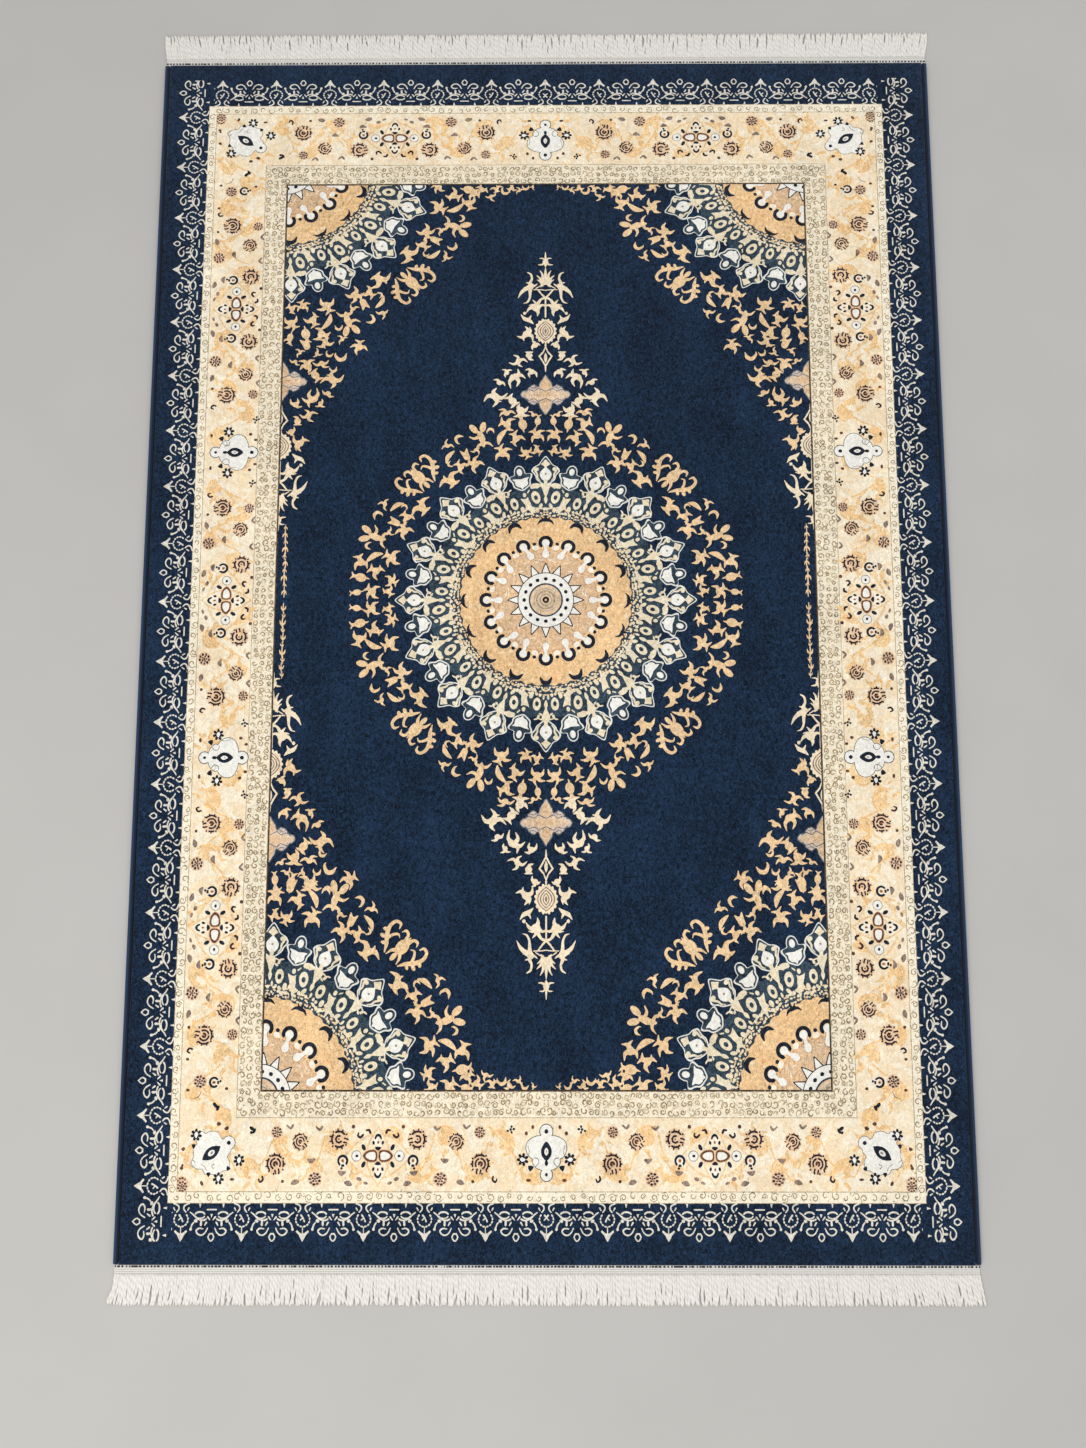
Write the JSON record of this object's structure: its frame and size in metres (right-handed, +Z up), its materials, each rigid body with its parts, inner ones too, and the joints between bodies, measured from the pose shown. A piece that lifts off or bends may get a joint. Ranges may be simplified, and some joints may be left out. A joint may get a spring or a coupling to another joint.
{
  "type": "velvet rug",
  "caption": "Flat rectangular short-pile rug with a dark blue traditional medallion pattern, overcast long edges and a cream fringe at each short end.",
  "frame": {"origin": "on the floor, under the middle of the rug", "axes": "+Z up, +Y along the rug's length to the far end of the picture, +X to the right of the picture"},
  "size_m": [1.2094, 1.9106, 0.0078],
  "materials": {
    "pile": "short velvet pile, dark blue with cream, peach and white ornament",
    "binding": "dark blue overcast yarn",
    "fringe": "off-white cotton-like yarn"
  },
  "bodies": {
    "root": {"rug_body": "pile", "binding_left": "binding", "binding_right": "binding", "fringe_far": "fringe", "fringe_near": "fringe"}
  },
  "joints": []
}
